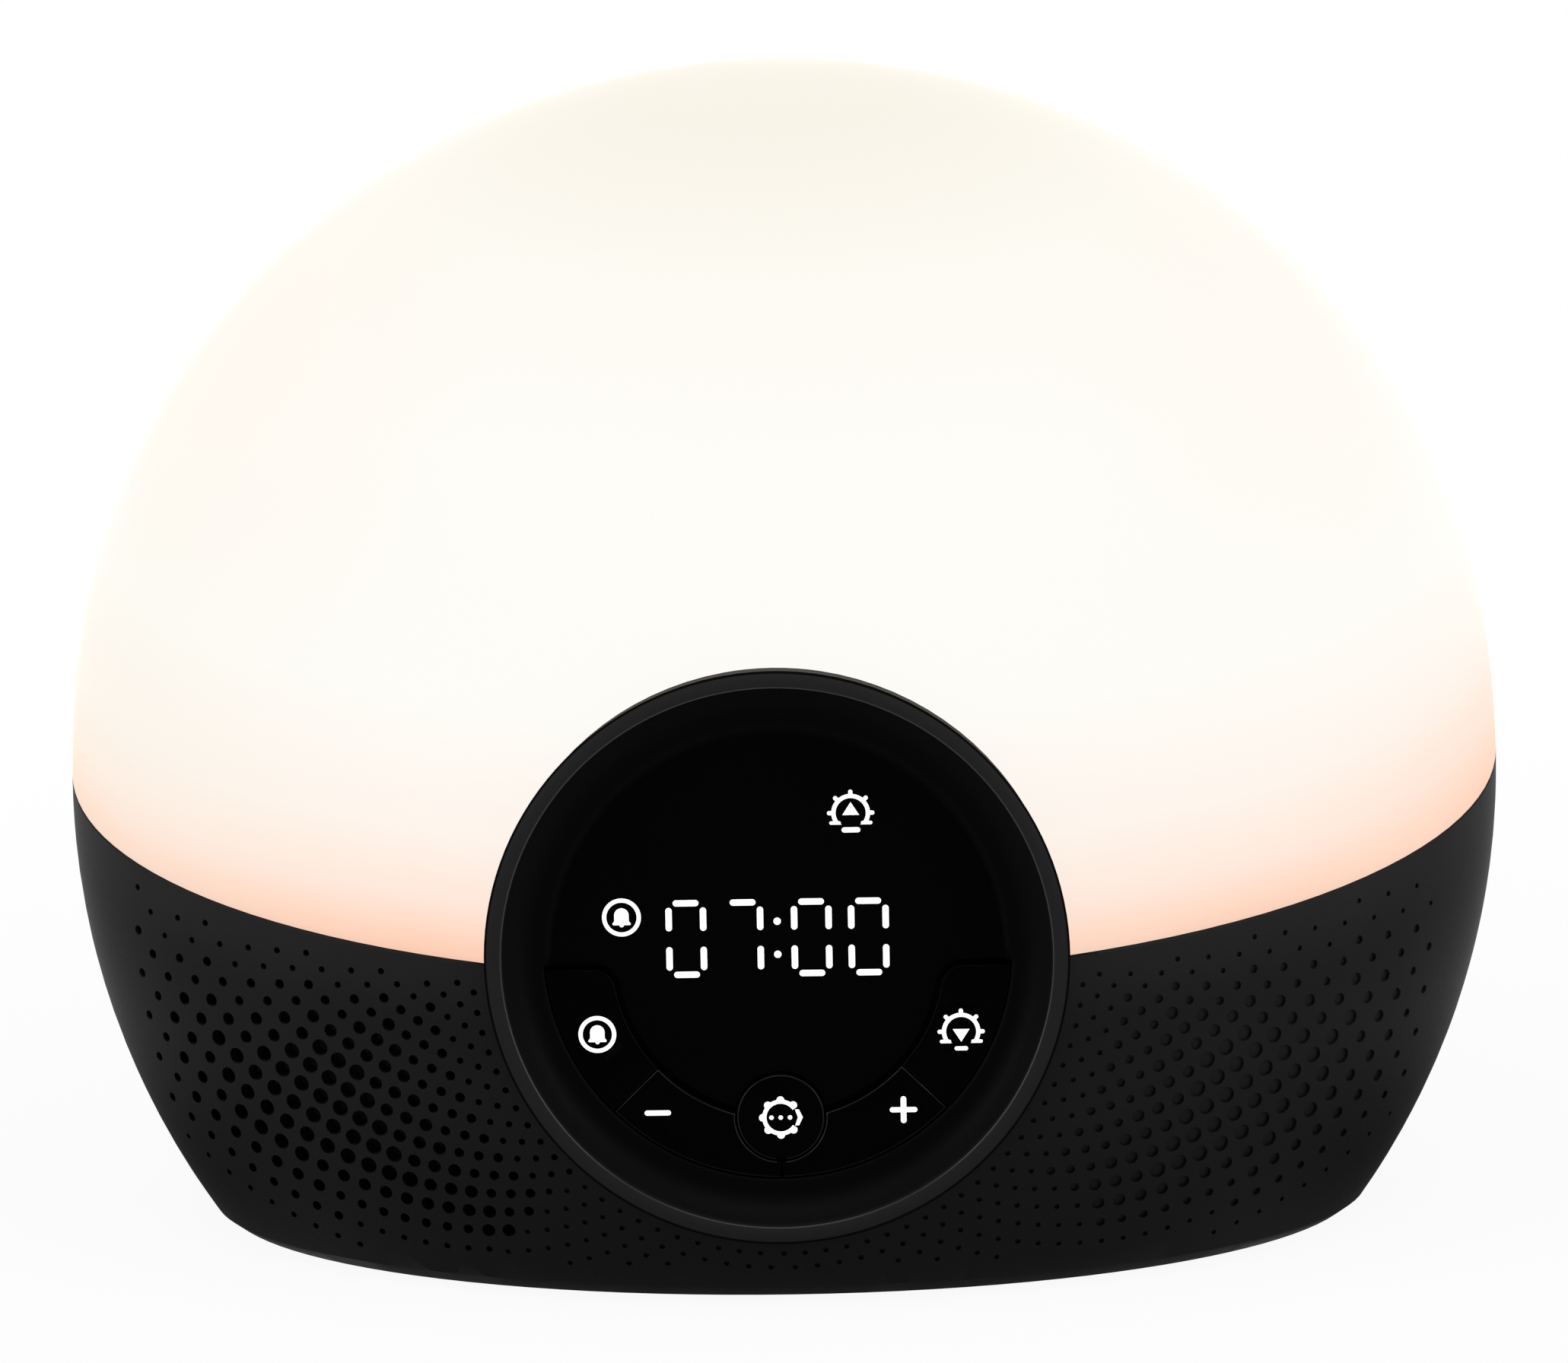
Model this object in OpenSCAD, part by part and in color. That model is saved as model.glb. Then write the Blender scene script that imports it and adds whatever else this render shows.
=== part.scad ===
// Sunrise alarm clock: an opal dome on a perforated base, with a round display and five keys.
// Millimetres, +Z up, front towards -Y. The origin is on the floor, under the middle of the bounding box.

/* [Body] */
// Width of the body at its widest
body_width = 210; // [200:1:220]
// Thickness of the body from front to back, square to its lean
body_thickness = 120; // [112:1:128]
// Angle by which the body leans back
lean = 12; // [9:0.5:14]
// Height of the widest point above the floor
waist_height = 64.1; // [62:0.1:66]
// Height of the dome's crown above the widest point, along the lean
crown_rise = 104.6; // [102:0.1:106]
// Wall of the base shell
base_wall = 2.4; // [2:0.1:2.6]
// Wall of the dome
dome_wall = 2.2; // [1.8:0.1:2.6]
// Height of the shell's underside above the floor
foot_gap = 1; // [0.8:0.1:1.4]

/* [Seam] */
// Height of the seam over the middle of the body
seam_height = 67; // [65:0.1:69]
// Angle by which the seam rises to the back
seam_tilt = 16.5; // [15:0.5:18]
// Shadow gap between the dome and the base
seam_gap = 0.4; // [0.3:0.1:0.6]

/* [Bezel and face] */
// Outer radius of the bezel
bezel_r = 40.6; // [40:0.1:41]
// Radius of the round face inside the dish
face_r = 32.4; // [32:0.1:33]
// Depth of the face below the lip
dish_depth = 5.5; // [5:0.1:5.6]
// Angle by which the face looks up
face_tilt = 2; // [1:0.5:4]
// Height of the bezel's centre
bezel_height = 50.9; // [50.4:0.1:51.4]
// Distance of the bezel's lip in front of the middle of the body
bezel_front = 61.8; // [61.4:0.1:62.6]

/* [Keys] */
// Gap round a key
key_gap = 0.3; // [0.25:0.05:0.35]
// Inner radius of the arc of keys
key_inner_r = 23.2; // [22.8:0.1:23.6]
// Radius of the round menu key
menu_r = 6.1; // [5.8:0.1:6.2]

/* [Grille] */
// Spacing of the rings of holes round the face
ring_pitch = 2.17; // [2.14:0.01:2.2]
// Step between the holes of a ring, as an angle
hole_step = 4; // [3.9:0.05:4.1]
// Diameter of the smallest holes
hole_min = 0.8; // [0.7:0.1:0.9]
// Diameter of the largest holes
hole_max = 2; // [1.8:0.1:2.1]

/* [Display] */
// Height of a digit
digit_height = 11.1; // [10.6:0.1:11.4]
// Width of a digit
digit_width = 5.7; // [5.4:0.1:6]
// Hours shown
shown_hours = 7; // [0:1:23]
// Minutes shown
shown_minutes = 0; // [0:1:59]

/* [Speaker] */
// Outer radius of the loudspeaker
speaker_r = 20; // [19:0.5:20]

/* [Hidden] */
KEYS = ["alarm", "minus", "menu", "plus", "sunset"];
$fn = 96;
big = 400;
fit = 0.3;
half_w = body_width / 2;
half_t = body_thickness / 2;

// ---- The body: four tangent arcs, turned about the leaning axis and flattened ----
lower_arc = 109;
side_arc = 135.9;
shoulder_arc = 98.4;
crown_arc = 111.8;
low_c = [half_w - lower_arc, 0];
side_c = [half_w - side_arc, 0];
crown_c = [0, crown_rise - crown_arc];

// Where the circles of radius ra round a and rb round b meet, to the left of the way from a to b
function meet(a, ra, b, rb) =
  let (s = b - a, d = norm(s), along = (ra * ra - rb * rb + d * d) / (2 * d))
  a + along * s / d + sqrt(max(ra * ra - along * along, 0)) * [-s[1], s[0]] / d;
shoulder_c = meet(side_c, side_arc - shoulder_arc, crown_c, crown_arc - shoulder_arc);

module shoulder_wedge() {
  from_side = shoulder_c - side_c;
  from_crown = shoulder_c - crown_c;
  polygon([
    shoulder_c,
    shoulder_c + big * from_side / norm(from_side),
    shoulder_c + big * from_crown / norm(from_crown)
  ]);
}

// Half of the body's outline, set in by g
module half_profile(g) {
  intersection() {
    translate(low_c) circle(r = lower_arc - g);
    translate([0, -big]) square(big);
  }
  intersection() {
    square(big);
    union() {
      translate(shoulder_c) circle(r = shoulder_arc - g);
      difference() {
        intersection() {
          translate(side_c) circle(r = side_arc - g);
          translate(crown_c) circle(r = crown_arc - g);
        }
        shoulder_wedge();
      }
    }
  }
}

module leaning() translate([0, 0, waist_height]) rotate([-lean, 0, 0]) children();

// The whole body, set in by g, in four quarter turns
module body_solid(g) leaning() scale([1, (half_t - g) / (half_w - g), 1])
  for (quarter = [0 : 3]) rotate(90 * quarter) rotate_extrude(angle = 90) half_profile(g);

module on_seam(z) translate([0, 0, seam_height]) rotate([seam_tilt, 0, 0]) translate([0, 0, z]) children();
module below_seam(z) on_seam(z) translate([-big, -big, -2 * big]) cube(2 * big);
module above_seam(z) on_seam(z) translate([-big, -big, 0]) cube(2 * big);
module above_floor(z) translate([-big, -big, z]) cube(2 * big);
module on_face(z) translate([0, -bezel_front, bezel_height]) rotate([90 - face_tilt, 0, 0])
  translate([0, 0, z]) children();

// The bezel flares to the front from a straight neck
neck_r = bezel_r - 1.2;
flare_depth = 9;
module bezel_opening(gap) on_face(0) rotate_extrude() polygon([
  [0, -36], [neck_r + gap, -36], [neck_r + gap, -flare_depth], [bezel_r + gap, 0], [bezel_r + gap, 24], [0, 24]
]);

// ---- The underside: a chamfered rim, and a cover with round ends ----
rim_half_w = 83.3;
rim_half_d = 48.4;
rim_y = -8.7;
floor_wall = 3;
module rim_cone() translate([0, rim_y, foot_gap]) scale([1, rim_half_d / rim_half_w, 1])
  cylinder(r1 = rim_half_w, r2 = rim_half_w + 140, h = 100);
module plate(half_x, half_y, z, h) translate([0, rim_y, z]) linear_extrude(h) {
  square([2 * (half_x - half_y), 2 * half_y], center = true);
  for (side = [-1, 1]) translate([side * (half_x - half_y), 0]) circle(r = half_y);
}

// ---- The grille: rings of holes round the face, small at the borders and large in the middle ----
function radius_at(v) = half_w - lower_arc + sqrt(lower_arc * lower_arc - v * v);
function depth_at(x, v) = half_t / half_w * sqrt(max(pow(radius_at(v), 2) - x * x, 1));
// Height along the lean of the point at x on the front where z = level + slope * y, from a first guess v
function lean_height(x, level, slope, v, rounds) =
  rounds == 0 ? v :
  let (w = depth_at(x, v), y = v * sin(lean) - w * cos(lean))
  lean_height(x, level, slope, (level + slope * y - waist_height - w * sin(lean)) / cos(lean), rounds - 1);

RINGS = [19 : 42];
grille_tilt = 3.1;
grille_shift = [0.75, -0.3];
first_r = 0.75;
function hole_angle(ring, place) = 0.4 + hole_step * (place + (ring % 2) / 2);
// A hole of the left side, mirrored to x > 0: [x, y, z, height along the lean]
function hole_point(ring, place) =
  let (r = first_r + ring_pitch * ring, angle = hole_angle(ring, place), x = r * cos(angle) + grille_shift[0],
       rise = -r * sin(angle) - bezel_front * sin(grille_tilt),
       v = lean_height(x, bezel_height + grille_shift[1] + rise / cos(grille_tilt), -tan(grille_tilt), -30, 6),
       w = depth_at(x, v))
  [x, v * sin(lean) - w * cos(lean), waist_height + v * cos(lean) + w * sin(lean), v];
function under_seam(ring, place) =
  let (p = hole_point(ring, place)) seam_height + p[1] * tan(seam_tilt) - p[2] > 2.8;
function over_rim(ring, place) =
  let (p = hole_point(ring, place)) p[2] > 5.1 + 0.5 * max(0, p[0] - 70) && hole_angle(ring, place) < 47;
function first_place(ring, place) = under_seam(ring, place) ? place : first_place(ring, place + 1);
function last_place(ring, place) = over_rim(ring, place) ? place : last_place(ring, place - 1);
// Largest of the four sizes, 0 to 3, that a ring reaches
function ring_size(ring) = ring < 22 ? 0 : ring < 25 || ring > 40 ? 1 : ring < 28 || ring > 37 ? 2 : 3;
function hole_size(ring, place, first, last) =
  min(ring_size(ring), place - first, ring > 26 ? last - place : 3);

module grille_holes(side, length) for (ring = RINGS) {
  first = first_place(ring, -2);
  last = last_place(ring, 13);
  for (place = [first : last]) {
    p = hole_point(ring, place);
    size = hole_size(ring, place, first, last);
    translate([side * p[0], p[1], p[2]])
      rotate([90, 0, side * 0.5 * atan(p[0] / depth_at(p[0], p[3]) * pow(half_t / half_w, 2))])
        translate([0, 0, -length])
          cylinder(d = hole_min + (hole_max - hole_min) * size / 3, h = 2 * length, $fn = size < 2 ? 12 : 16);
  }
}

// ---- Casing ----
module dome_diffuser() color("ivory") difference() {
  intersection() {
    body_solid(0);
    above_seam(0);
  }
  body_solid(dome_wall);
  bezel_opening(fit);
}

boss_spots = [for (sx = [-1, 1], sy = [-1, 1]) [sx * 56.5, rim_y + sy * 20.9]];
speaker_at = [-60.5, -41.6, 27.4];
speaker_turn = -26;
module on_speaker(z) translate(speaker_at) rotate([90, 0, speaker_turn]) translate([0, 0, z]) children();
inlet_x = 25;
inlet_z = 18;
inlet_mouth = 45.9;

module base_shell() color("#2b2b2b") difference() {
  union() {
    difference() {
      intersection() {
        body_solid(0);
        below_seam(-seam_gap);
        above_floor(foot_gap);
        rim_cone();
      }
      intersection() {
        body_solid(base_wall);
        above_floor(foot_gap + floor_wall);
      }
    }
    for (spot = boss_spots) translate([spot[0], spot[1], foot_gap + floor_wall - 0.5]) cylinder(r = 3.4, h = 9);
    intersection() {
      body_solid(base_wall / 2);
      on_speaker(0) difference() {
        cylinder(r = speaker_r, h = 30);
        translate([0, 0, -1]) cylinder(r = speaker_r - 2.2, h = 40);
      }
    }
  }
  bezel_opening(fit);
  plate(58, 30, -1, 8);
  plate(74, 38, -1, foot_gap + 2.5);
  for (spot = boss_spots) translate([spot[0], spot[1], 0]) cylinder(r = 1.25, h = foot_gap + 10);
  translate([inlet_x, 30, inlet_z]) rotate([-90, 0, 0]) cylinder(r = 4.6, h = 40);
  grille_holes(-1, 7);
}

foot_spots = [for (sx = [-1, 1], sy = [-1, 1]) [sx * 42, rim_y + sy * 21]];
board_spots = [for (sx = [-1, 1], sy = [-1, 1]) [8 + sx * 32, sy * 15]];
board_z = 12;
module bottom_cover() color("#1f1f1f") difference() {
  union() {
    plate(73.8, 37.8, foot_gap, 1.4);
    plate(57.8, 29.8, foot_gap, floor_wall);
    for (spot = board_spots) translate([spot[0], spot[1], foot_gap + 1]) cylinder(r = 3, h = board_z - foot_gap - 1);
  }
  for (spot = board_spots) translate([spot[0], spot[1], foot_gap + 4]) cylinder(r = 1.25, h = board_z);
  for (spot = boss_spots) translate([spot[0], spot[1], 0]) {
    cylinder(r = 1.7, h = 10);
    cylinder(r = 3.1, h = foot_gap + 0.8);
  }
  for (spot = foot_spots) translate([spot[0], spot[1], 0]) cylinder(r = 5.2, h = foot_gap + 0.8);
}
module rubber_feet() color("#151515")
  for (spot = foot_spots) translate([spot[0], spot[1], 0]) cylinder(r = 5, h = foot_gap + 0.8);
module screw(head_r, head_h, shank_r, shank_h) {
  cylinder(r = head_r, h = head_h);
  translate([0, 0, head_h]) cylinder(r = shank_r, h = shank_h);
}
module cover_screws() color("silver")
  for (spot = boss_spots) translate([spot[0], spot[1], foot_gap + 0.1]) screw(2.7, 0.7, 1.25, 7);

// ---- Bezel and face ----
key_top = -dish_depth;
window_top = key_top - 1.2;
carrier_top = key_top - 3;
bore_r = face_r + fit;
pocket_r = bezel_r - 2.8;
module bezel_ring() color("#1a1a1a") {
  on_face(0) rotate_extrude() difference() {
    polygon([[bore_r, -22], [neck_r, -22], [neck_r, -flare_depth], [bezel_r, 0], [bore_r, 0]]);
    translate([bore_r, 0]) circle(r = dish_depth);
    translate([0, -23]) square([pocket_r, 21 + carrier_top]);
  }
  on_face(window_top) difference() {
    linear_extrude(key_top - window_top) difference() {
      circle(r = bore_r + 0.1);
      translate([0, -1.1]) circle(r = face_r - 0.9);
      translate([-50, -101.6]) square(100);
    }
    cylinder(r1 = face_r - 2.2, r2 = face_r, h = key_top - window_top + 0.01);
  }
}

band_top = -2.4;
key_inner_y = -0.9;
corner_r = 3;
corner_x = 25.8;
split_angle = 44;
// The arc of keys under the window, with round upper corners
module key_band(grow) difference() {
  intersection() {
    circle(r = face_r + grow);
    translate([-50, band_top - 50 + grow]) square([100, 50]);
  }
  translate([0, key_inner_y]) circle(r = key_inner_r - grow);
  for (side = [-1, 1]) difference() {
    translate([side * (corner_x - 3) - 3, band_top - corner_r]) square([6, 5]);
    translate([side * corner_x, band_top - corner_r]) circle(r = corner_r + grow);
    translate([side * (corner_x + 5) - 5, band_top - corner_r - 1]) square([10, 7]);
  }
}
menu_spot = [0, -23.8];
module beyond_split(angle, gap) rotate(angle) translate([gap, -80]) square([80, 160]);
// Outline of a key, seen from the front: the outer keys above the radial splits, the inner ones below
module key_outline(name) {
  side = name == "alarm" || name == "minus" ? -1 : 1;
  if (name == "menu") translate(menu_spot) circle(r = menu_r);
  else mirror([side < 0 ? 1 : 0, 0]) difference() {
    key_band(0);
    translate([-100, -50]) square([100, 100]);
    if (name == "alarm" || name == "sunset") beyond_split(-split_angle - 90, -key_gap / 2);
    else beyond_split(90 - split_angle, -key_gap / 2);
    translate(menu_spot) circle(r = menu_r + key_gap);
    if (name == "minus" || name == "plus") square([key_gap, 100], center = true);
  }
}
post_spots = [[-26.6, -11.4], [-17.6, -22.4], menu_spot, [17.6, -22.4], [26.6, -11.4]];
post_r = 2;
switch_top = -12.6;
post_end = switch_top + 1;
module key(index) color("#0e0e0e") {
  difference() {
    on_face(key_top - 2.2) linear_extrude(2.2) key_outline(KEYS[index]);
    key_symbol(index, 1);
  }
  on_face(post_end) translate(post_spots[index]) cylinder(r = post_r, h = key_top - 2.2 - post_end);
}
module plunger(index) color("saddlebrown")
  on_face(post_end - 1.8) translate(post_spots[index]) cylinder(r = 1.6, h = 1.8);

module window_outline() difference() {
  circle(r = face_r);
  key_band(key_gap + 0.5);
  translate(menu_spot) circle(r = menu_r + key_gap);
}
module display_window() color("#101014") difference() {
  on_face(carrier_top) linear_extrude(window_top - carrier_top) window_outline();
  inlaid(window_top, 1) shown_digits();
  inlaid(window_top, 1) icons();
}

module_size = [34, 15];
module_spot = [0, 1.7];
guide_spots = [[-21.7, 4.9], [10.5, 19.3]];
module key_carrier() color("#3a3a3a") difference() {
  union() {
    on_face(carrier_top - 3.9) cylinder(r = face_r, h = 3.9);
    on_face(carrier_top - 3.9) cylinder(r = pocket_r - 0.2, h = 1.8);
    for (turn = [45 : 90 : 315]) on_face(-16) rotate(turn) translate([33.4, 0]) cylinder(r = 2.6, h = 5);
  }
  on_face(-20) for (spot = post_spots) translate(spot) cylinder(r = post_r + 0.4, h = 20);
  on_face(-20) for (spot = guide_spots) translate(spot) cylinder(r = 3.6, h = 20);
  on_face(-30) translate(module_spot) linear_extrude(40) square(module_size + [0.6, 0.6], center = true);
  for (turn = [45 : 90 : 315]) on_face(-17) rotate(turn) translate([33.4, 0]) cylinder(r = 1, h = 5);
}
module control_board() color("darkgreen") difference() {
  on_face(-17.6) cylinder(r = pocket_r - 0.4, h = 1.6);
  for (turn = [45 : 90 : 315]) on_face(-20) rotate(turn) translate([33.4, 0]) cylinder(r = 1.3, h = 6);
}
module control_board_screws() color("silver") for (turn = [45 : 90 : 315])
  on_face(-18.6) rotate(turn) translate([33.4, 0]) screw(2, 1, 1, 5);
module key_switches() color("#303030") for (spot = post_spots) on_face(-16) translate(spot) difference() {
  translate([-3, -3, 0]) cube([6, 6, -16 * -1 + switch_top]);
  translate([0, 0, 0.8]) cylinder(r = 1.9, h = 6);
}
module display_module() color("#0b0b0b") on_face(-16) translate(module_spot)
  linear_extrude(7.2) square(module_size, center = true);

// Segments a to g of a digit: middle point as fractions of the digit's half width and half height, and its turn
SEGMENTS = [[0, 1, 0], [1, 0.55, 90], [1, -0.55, 90], [0, -1, 0], [-1, -0.55, 90], [-1, 0.55, 90], [0, 0, 0]];
LIT = [
  [1, 1, 1, 1, 1, 1, 0], [0, 1, 1, 0, 0, 0, 0], [1, 1, 0, 1, 1, 0, 1], [1, 1, 1, 1, 0, 0, 1],
  [0, 1, 1, 0, 0, 1, 1], [1, 0, 1, 1, 0, 1, 1], [1, 0, 1, 1, 1, 1, 1], [1, 1, 1, 0, 0, 0, 0],
  [1, 1, 1, 1, 1, 1, 1], [1, 1, 1, 1, 0, 1, 1]
];
stroke = 0.9;
digit_spots = [-12.72, -4.77, 4.77, 12.72];
shown = [floor(shown_hours / 10), shown_hours % 10, floor(shown_minutes / 10), shown_minutes % 10];
module segment(place) {
  upright = place[2] == 90;
  length = upright ? digit_height / 2 - 3.1 : digit_width - 3;
  translate([place[0] * (digit_width - stroke) / 2, place[1] * (digit_height - stroke) / 2]) rotate(place[2]) {
    square([length, stroke], center = true);
    for (end = [-1, 1]) translate([end * length / 2, 0]) circle(d = stroke, $fn = 16);
  }
}
module shown_digits() translate(module_spot) {
  for (place = [0 : 3], part = [0 : 6]) if (LIT[shown[place]][part] == 1)
    translate([digit_spots[place], 0]) segment(SEGMENTS[part]);
  for (end = [-1, 1]) translate([0, end * 2.36]) circle(d = 1.04, $fn = 24);
}
// Light guides that fill a pocket of this depth from the surface at z; the pocket itself reaches a little above it
inlay_depth = 0.6;
module inlaid(z, above) on_face(z - inlay_depth) linear_extrude(inlay_depth + above) children();
module lit_segments() color("white") inlaid(window_top, 0) shown_digits();
module icon_light_guides() color("lightgray") for (spot = guide_spots)
  on_face(-14.6) translate(spot) cylinder(r = 3.3, h = 6);

// Signs, drawn round the middle of their ring
sign_line = 0.6;
module sign_bar(length, line) {
  square([length - line, line], center = true);
  for (end = [-1, 1]) translate([end * (length - line) / 2, 0]) circle(d = line, $fn = 16);
}
module bell_sign(r) {
  difference() {
    circle(r = r, $fn = 64);
    circle(r = r - sign_line, $fn = 64);
  }
  translate([0, 0.3]) circle(r = 1.02, $fn = 32);
  translate([-1.02, -0.75]) square([2.04, 1.05]);
  hull() {
    translate([-1, -0.6]) square([2, 0.1]);
    for (side = [-1, 1]) translate([side * 1.1, -0.92]) circle(r = 0.18, $fn = 12);
  }
  translate([0, -1.08]) circle(r = 0.32, $fn = 16);
}
module sun_sign(up) {
  difference() {
    circle(r = 2.7, $fn = 64);
    circle(r = 2.7 - sign_line, $fn = 64);
    translate([-3, -4.65]) square([6, 3]);
  }
  for (ray = [0 : 45 : 180]) rotate(ray) translate([2.85, 0]) sign_bar(0.9, sign_line);
  for (side = [-1, 1]) translate([side * 2.2, -1.4]) sign_bar(1.6, 0.5);
  translate([0, -2.4]) sign_bar(up > 0 ? 2.6 : 1.9, up > 0 ? 0.75 : sign_line);
  translate([0, up > 0 ? -0.3 : 0.37]) polygon([[-1.18, 0], [1.18, 0], [0, up * 1.83]]);
}
module menu_sign() {
  difference() {
    union() {
      circle(r = 2.6, $fn = 64);
      for (bump = [45 : 45 : 315]) rotate(bump) translate([2.5, 0]) circle(r = 0.55, $fn = 16);
    }
    circle(r = 2, $fn = 64);
    polygon([[0, 0], [4, 2.6], [4, -2.6]]);
  }
  polygon([[2, 1.15], [2.55, 1.15], [3.1, 0], [2.55, -1.15], [2, -1.15], [2.4, 0]]);
  for (dot = [-1 : 1]) translate([dot * 1.3, 0]) circle(d = 0.64, $fn = 16);
}
module icons() {
  translate(guide_spots[0]) bell_sign(2.72);
  translate(guide_spots[1]) sun_sign(1);
}
sign_spots = [[-25.4, -11.5], [-17.2, -22.9], [0, -23.8], [17.2, -22.9], [25.4, -11.8]];
module sign(index) translate(sign_spots[index]) {
  if (index == 0) bell_sign(2.65);
  if (index == 2) menu_sign();
  if (index == 4) sun_sign(-1);
  if (index == 1 || index == 3) sign_bar(index == 1 ? 3.7 : 3.87, 0.75);
  if (index == 3) rotate(90) sign_bar(3.87, 0.8);
}
module key_symbol(index, above) color("white") inlaid(key_top, above) sign(index);
module indicator_icons() color("white") inlaid(window_top, 0) icons();
module icon_leds() color("lightyellow") for (spot = guide_spots)
  on_face(-16) translate([spot[0] - 1, spot[1] - 0.6, 0]) cube([2, 1.2, 0.8]);

// ---- Light box ----
tray_top = -1.6;
tray_wall = 1.8;
led_size = [112, 30];
led_y = 14;
module tray_outline(z, h) intersection() {
  body_solid(base_wall + fit);
  on_seam(z) translate([-big, -big, 0]) cube([2 * big, 2 * big, h]);
}
module reflector_tray() color("white") difference() {
  tray_outline(tray_top - tray_wall, tray_wall);
  bezel_opening(fit);
  on_seam(tray_top - 5) translate([-50.3, led_y - 12.3, 0]) cube([100.6, 24.6, 10]);
  on_seam(tray_top - 5) translate([53.3, led_y, 0]) cylinder(r = 2.4, h = 10);
}
module led_board() color("whitesmoke") on_seam(tray_top)
  translate([-led_size[0] / 2, led_y - led_size[1] / 2, 0]) cube([led_size[0], led_size[1], 1.6]);
module dome_leds() color("gold") for (column = [-5 : 4], row = [-1 : 1])
  on_seam(tray_top + 1.6) translate([(column + 0.5) * 10.6 - 1.75, led_y + row * 9 - 1.4, 0]) cube([3.5, 2.8, 0.8]);
module heat_sink() color("silver") on_seam(tray_top) {
  translate([-50, led_y - 12, -tray_wall - 2]) cube([100, 24, tray_wall + 2]);
  for (fin = [0 : 6]) translate([-50, led_y - 12 + fin * 3.75, -tray_wall - 9]) cube([100, 1.5, 7.5]);
}

// ---- Main board and inlet ----
board_size = [76, 38];
board_min = [-30, -19];
module main_board() color("darkgreen") difference() {
  translate([board_min[0], board_min[1], board_z]) cube([board_size[0], board_size[1], 1.6]);
  for (spot = board_spots) translate([spot[0], spot[1], board_z - 1]) cylinder(r = 1.5, h = 4);
}
module inlet_board() color("darkgreen") difference() {
  translate([inlet_x - 8, board_min[1] + board_size[1] + 0.2, board_z]) cube([16, 15.5, 1.6]);
  for (side = [-1, 1]) translate([inlet_x + side * 6, 23, board_z - 1]) cylinder(r = 1, h = 4);
}
module main_board_screws() color("silver") for (spot = board_spots)
  translate([spot[0], spot[1], board_z + 2.6]) mirror([0, 0, 1]) screw(2.6, 1, 1.25, 8);
board_top = board_z + 1.6;
module controller_chip() color("#202020") translate([-2, 0, board_top]) cube([10, 10, 1.6]);
module capacitors() color("#27408b") for (spot = [[20, -5], [30, -5], [-16, 8]])
  translate([spot[0], spot[1], board_top]) cylinder(r = 4, h = 11);
HEADERS = [[-26, -5, 6, 4], [-6, -14, 14, 4], [34, 2, 6, 4]];
module board_headers() color("ivory") {
  for (header = HEADERS)
    translate([header[0] - header[2] / 2, header[1] - header[3] / 2, board_top]) cube([header[2], header[3], 5]);
  on_face(-22.6) translate([-13, -14, 0]) cube([14, 4, 5]);
}
inlet_face = 37.5;
module dc_inlet() color("#1c1c1c") difference() {
  union() {
    translate([inlet_x - 4.4, inlet_face - 12, board_top]) cube([8.8, 12, 8.8]);
    translate([inlet_x, inlet_face - 1, inlet_z]) rotate([-90, 0, 0])
      cylinder(r = 4.3, h = inlet_mouth - inlet_face + 1);
  }
  translate([inlet_x, inlet_mouth - 12, inlet_z]) rotate([-90, 0, 0]) cylinder(r = 2.9, h = 20);
}
module dc_pin() color("silver")
  translate([inlet_x, inlet_mouth - 12, inlet_z]) rotate([-90, 0, 0]) cylinder(r = 1, h = 7.6, $fn = 32);

// ---- Loudspeaker, along its own axis, with its gasket's front at 0 ----
surround_r = speaker_r - 3.2;
cone_r = surround_r - 2.4;
coil_r = 4.7;
module speaker_gasket() color("#202020") on_speaker(-1) difference() {
  cylinder(r = speaker_r, h = 1);
  translate([0, 0, -1]) cylinder(r = speaker_r - 2.2, h = 4);
}
module speaker_basket() color("dimgray") on_speaker(0) rotate_extrude() polygon([
  [coil_r + 0.6, -12], [11, -12], [speaker_r - 1, -3], [speaker_r, -3], [speaker_r, -1], [surround_r + 0.3, -1],
  [surround_r + 0.3, -3], [speaker_r - 2.6, -3], [10.4, -11], [coil_r + 0.6, -11]
]);
module speaker_magnet() color("#3c3c40") on_speaker(-17) difference() {
  cylinder(r = 11, h = 5);
  translate([0, 0, -1]) cylinder(r = 6, h = 8);
}
module speaker_yoke() color("gray") {
  on_speaker(-19) cylinder(r = 11, h = 2);
  on_speaker(-17) cylinder(r = 3.6, h = 6);
}
module speaker_terminals() color("saddlebrown") difference() {
  on_speaker(-10) translate([14, -3.5, 0]) cube([4, 7, 3]);
  on_speaker(-12) cylinder(r1 = 11.05, r2 = 19.05, h = 9);
}
module speaker_cone() color("#444444") on_speaker(0) rotate_extrude()
  polygon([[coil_r, -8], [cone_r, -3], [cone_r, -2.5], [coil_r, -7.4]]);
module dust_cap() color("#333333") on_speaker(-7.4) rotate_extrude() intersection() {
  translate([0, -7]) difference() {
    circle(r = 8.6);
    circle(r = 8.2);
  }
  square([coil_r - 0.2, 4]);
}
module speaker_surround() color("#222222") on_speaker(-2.9) rotate_extrude() intersection() {
  translate([(cone_r + surround_r) / 2, 0]) difference() {
    circle(r = (surround_r - cone_r) / 2);
    circle(r = (surround_r - cone_r) / 2 - 0.4);
  }
  translate([cone_r + 0.03, 0]) square([40, 10]);
}
module speaker_spider() color("goldenrod") on_speaker(-9.4) difference() {
  cylinder(r = 11.7, h = 0.4);
  translate([0, 0, -1]) cylinder(r = coil_r + 0.05, h = 3);
}
module voice_coil() color("peru") on_speaker(-13.5) difference() {
  cylinder(r = coil_r, h = 5.5);
  translate([0, 0, -1]) cylinder(r = coil_r - 0.5, h = 8);
}

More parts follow.
